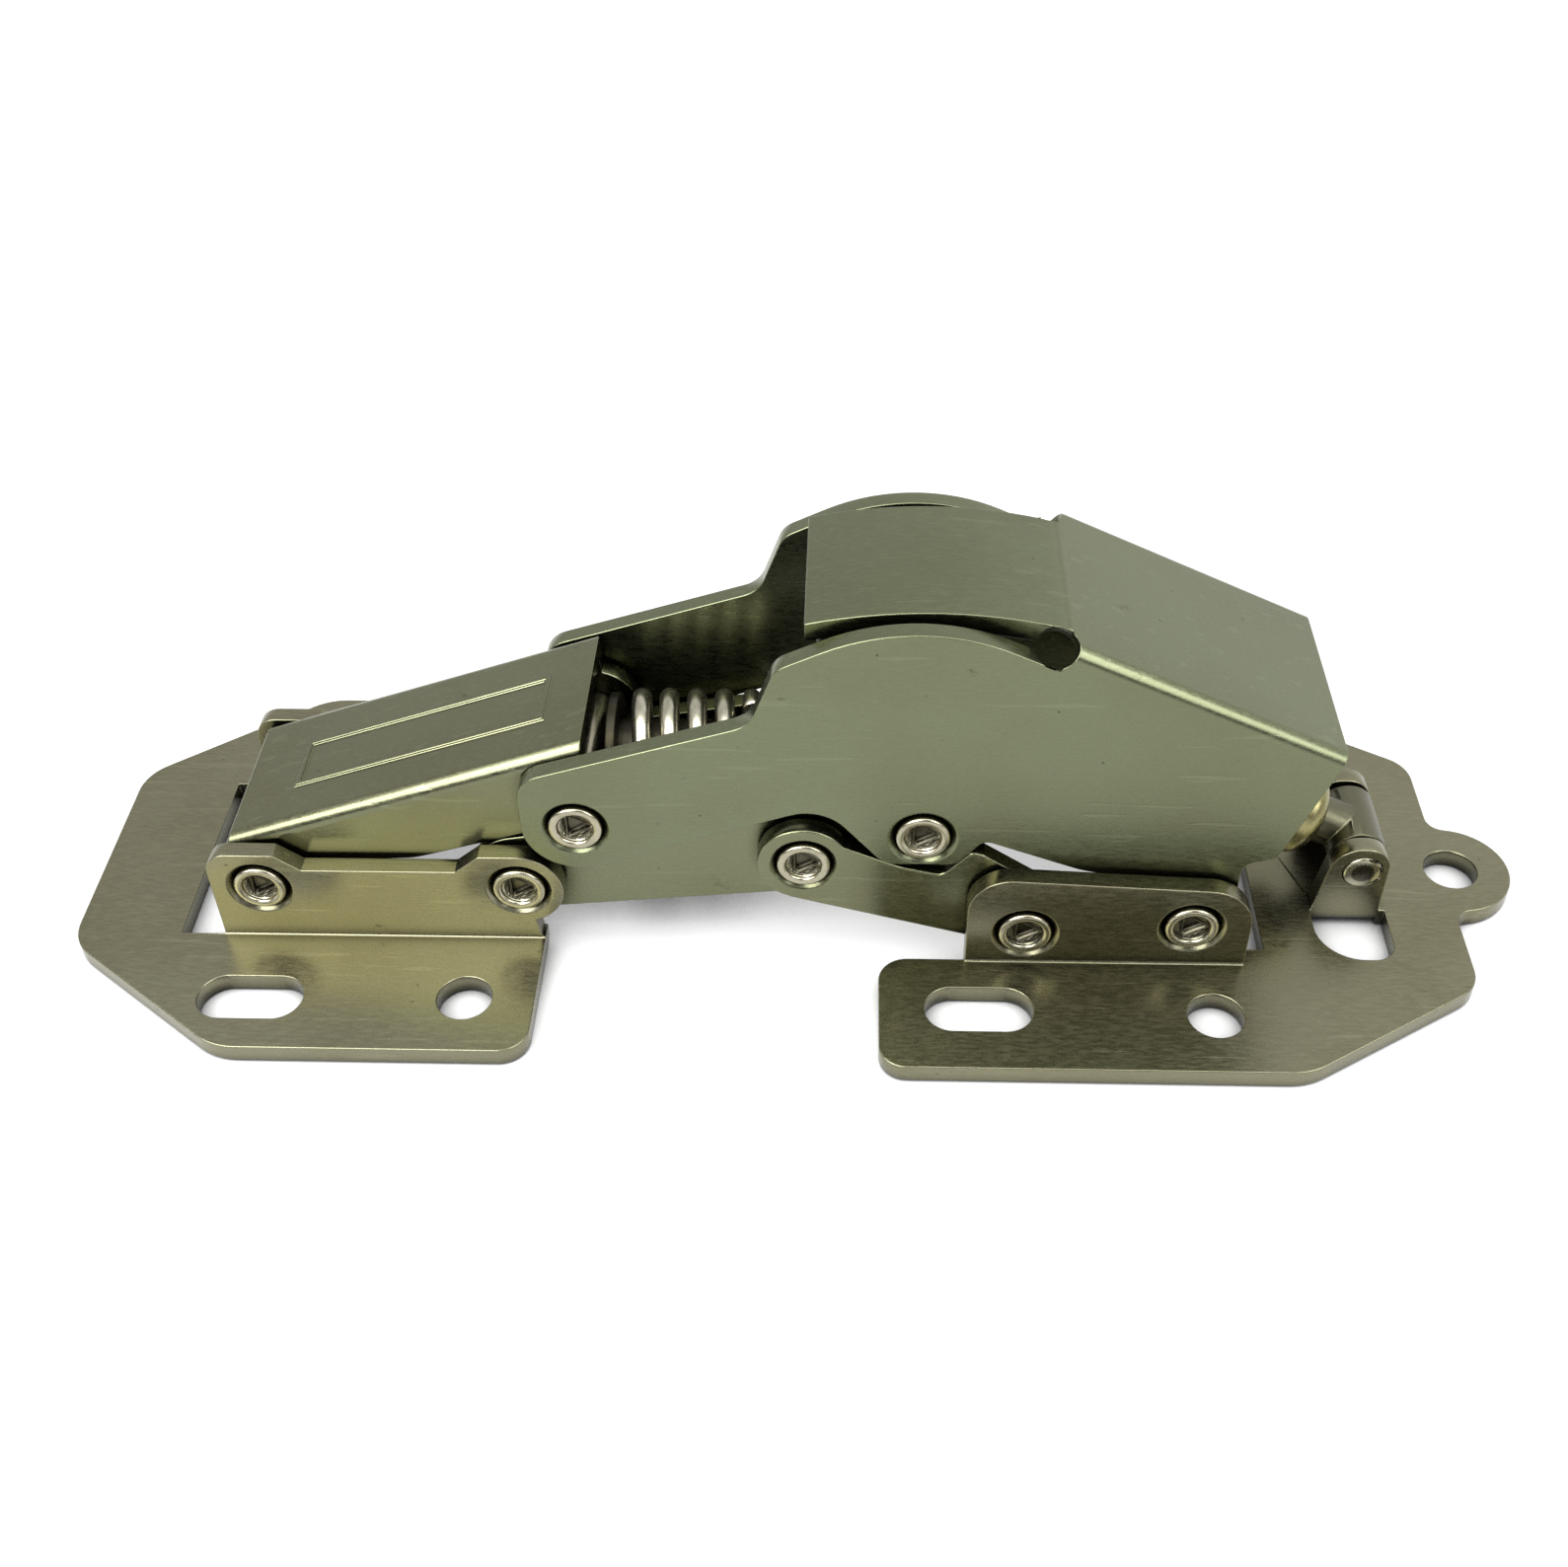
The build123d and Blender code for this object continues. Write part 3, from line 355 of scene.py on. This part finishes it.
MATERIALS = {
    "plate": plated_steel("nickel_plate", PLATE_NICKEL, 0.27, specks=0.7, scuffs_and_dark_reflections=0.5),
    "arm": plated_steel("nickel_arm", ARM_NICKEL, 0.28, specks=0.7, grain_turn=0.3),
    "cover": plated_steel("nickel_cover", COVER_NICKEL, 0.24, specks=0.4, grain_turn=-0.3),
    "link": plated_steel("nickel_link", LINK_NICKEL, 0.27, specks=0.5),
    "rivet": turned_metal("bright_rivet", RIVET_NICKEL, 0.22, RIVET_RECESS_SHADE),
    "eye": turned_metal("turned_eye", EYE_STEEL, 0.34),
    "spring": drawn_wire("spring_wire", SPRING_STEEL),
    "dark": turned_metal("dark_steel", DARK_STEEL, 0.40),
    "damper": turned_metal("drawn_brass", DAMPER_BRASS, 0.26),
    "plastic": moulded_plastic("black_plastic", BLACK_PLASTIC),
}

FINISH = {                     # the other nodes are rivets and pins
    "cabinet_plate": "plate",
    "door_plate": "plate",
    "cover_link": "cover",
    "lower_link": "link",
    "short_link_near": "link",
    "short_link_far": "link",
    "main_arm": "arm",
    "coil_spring": "spring",
    "spring_rod": "dark",
    "spring_seat": "dark",
    "damper_eye": "eye",
    "damper_cylinder": "damper",
    "damper_cap": "damper",
    "damper_piston": "plastic",
    "damper_tip": "plastic",
    "damper_socket": "plastic",
}


def dress(node):
    """Gives one CAD node its finish, slightly broken edges and true flat faces."""
    finish = FINISH.get(node.name, "rivet")
    mesh = node.data
    mesh.materials.clear()
    mesh.materials.append(MATERIALS[finish])
    strength = mesh.attributes.new(FACE_STRENGTH, "INT", "FACE")
    strengths = [MEDIUM if face.use_smooth else STRONG for face in mesh.polygons]
    strength.data.foreach_set("value", strengths)
    mesh.polygons.foreach_set("use_smooth", [True] * len(mesh.polygons))

    weld = node.modifiers.new("join", "WELD")
    weld.merge_threshold = WELD_REACH.get(finish, FINE_WELD)
    if finish != "rivet":      # the marks in rivets' ends keep their facets
        flat = node.modifiers.new("flat", "DECIMATE")
        flat.decimate_type = "DISSOLVE"
        flat.angle_limit = FLAT_ANGLE
    edge = node.modifiers.new("edge", "BEVEL")
    edge.width = EDGE_ROUND.get(finish, COMMON_EDGE)
    edge.segments = EDGE_SEGMENTS
    edge.limit_method = "ANGLE"
    edge.angle_limit = SHARP_ANGLE
    edge.use_clamp_overlap = False
    edge.face_strength_mode = "FSTR_NEW"
    normals = node.modifiers.new("normals", "WEIGHTED_NORMAL")
    normals.keep_sharp = False
    normals.use_face_influence = True


def coil_mesh():
    """Round wire wound about X, closed at both ends."""
    steps = round(COIL_TURNS * COIL_STEPS)
    verts, faces = [], []
    for i in range(steps + 1):
        turn = math.tau * i / COIL_STEPS
        outwards = Vector((0, math.sin(turn), -math.cos(turn)))
        centre = COIL_START + Vector((COIL_LENGTH * i / steps, 0, 0)) + outwards * COIL_RADIUS
        for k in range(WIRE_SIDES):
            side = math.tau * k / WIRE_SIDES
            across = outwards * math.cos(side) + Vector((math.sin(side), 0, 0))
            verts.append(centre + across * COIL_WIRE)
    for i in range(steps):
        here, after = i * WIRE_SIDES, (i + 1) * WIRE_SIDES
        for k in range(WIRE_SIDES):
            following = (k + 1) % WIRE_SIDES
            faces.append((here + k, here + following, after + following, after + k))
    smooth = [True] * len(faces) + [False, False]
    faces.append(tuple(reversed(range(WIRE_SIDES))))
    faces.append(tuple(range(steps * WIRE_SIDES, (steps + 1) * WIRE_SIDES)))
    mesh = bpy.data.meshes.new("smooth_coil")
    mesh.from_pydata(verts, [], faces)
    mesh.polygons.foreach_set("use_smooth", smooth)
    return mesh


def smooth_coil():
    """The CAD coil again, with a round wire."""
    mesh = coil_mesh()
    mesh.materials.append(MATERIALS["spring"])
    coil = bpy.data.objects.new("smooth_coil", mesh)
    bpy.context.scene.collection.objects.link(coil)
    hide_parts("coil_spring")
    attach(coil, "spring")


def soft_lamp(name, lamp):
    """Area lamp that faces the middle of the hinge."""
    data = bpy.data.lights.new(name, "AREA")
    data.shape = "RECTANGLE"
    data.size, data.size_y = lamp.size
    data.energy = lamp.power
    light = bpy.data.objects.new(name, data)
    light.location = lamp.place
    light.rotation_mode = "QUATERNION"
    light.rotation_quaternion = (LAMP_TARGET - Vector(lamp.place)).to_track_quat("-Z", "Y")
    bpy.context.scene.collection.objects.link(light)


def white_floor():
    """Floor that looks white in the open, with a painted shadow under the hinge."""
    bpy.ops.mesh.primitive_plane_add(size=FLOOR_SIZE, location=(0, 0, -FLOOR_DROP))
    floor = bpy.context.object
    floor.name = "floor"
    material, nodes = new_material("white_floor")
    rays = nodes.add("ShaderNodeLightPath").outputs
    camera, glossy, through = (rays[name] for name in SEEN_RAYS)
    seen = nodes.maths("ADD", nodes.maths("ADD", camera, glossy), through)
    # painted shadow: floor darkened, and its white lift taken away, where the hinge encloses it
    open_floor = nodes.step(nodes.openness(FLOOR_SHADE_REACH), FLOOR_SHADOW_FADE)
    lift = nodes.maths("MULTIPLY", nodes.maths("MULTIPLY", seen, FLOOR_LIFT), open_floor)
    nodes.finish(
        Base_Color=nodes.blend(open_floor, FLOOR_PAINTED_SHADOW, FLOOR_GREY), Roughness=FLOOR_ROUGHNESS,
        Emission_Color=WHITE, Emission_Strength=lift,
    )
    floor.data.materials.append(material)


def sky():
    """Sky that is bright behind the hinge and dark in front of it."""
    world = bpy.data.worlds.new("studio")
    bpy.context.scene.world = world
    nodes = Nodes(world, "Background")
    direction = nodes.add("ShaderNodeTexCoord").outputs["Generated"]
    parts = nodes.add("ShaderNodeSeparateXYZ", {0: direction}).outputs
    across, along, up = (nodes.step(parts[axis], fade, "SMOOTHSTEP") for axis, fade in SKY.items())
    strength = nodes.maths("MULTIPLY", nodes.maths("MULTIPLY", across, along), up)
    nodes.finish(Color=WHITE, Strength=strength)


def photo_camera():
    """Camera at the photograph's place and angle."""
    forward = Vector((
        math.sin(CAMERA_YAW) * math.cos(CAMERA_PITCH),
        math.cos(CAMERA_YAW) * math.cos(CAMERA_PITCH),
        -math.sin(CAMERA_PITCH),
    ))
    level = Vector((math.cos(CAMERA_YAW), -math.sin(CAMERA_YAW), 0))
    below = forward.cross(level)
    right = level * math.cos(CAMERA_ROLL) + below * math.sin(CAMERA_ROLL)
    down = below * math.cos(CAMERA_ROLL) - level * math.sin(CAMERA_ROLL)
    data = bpy.data.cameras.new("camera")
    data.lens = CAMERA_LENS
    data.clip_start = CAMERA_NEAR
    camera = bpy.data.objects.new("camera", data)
    turn = Matrix((right, -down, -forward)).transposed()
    camera.matrix_world = Matrix.Translation(CAMERA_PLACE) @ turn.to_4x4()
    bpy.context.scene.collection.objects.link(camera)
    bpy.context.scene.camera = camera


for cad_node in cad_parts.values():
    dress(cad_node)
smooth_coil()
white_floor()
sky()
for lamp_name, studio_lamp in LAMPS.items():
    soft_lamp(lamp_name, studio_lamp)
photo_camera()
bpy.context.scene.view_settings.view_transform = "Standard"
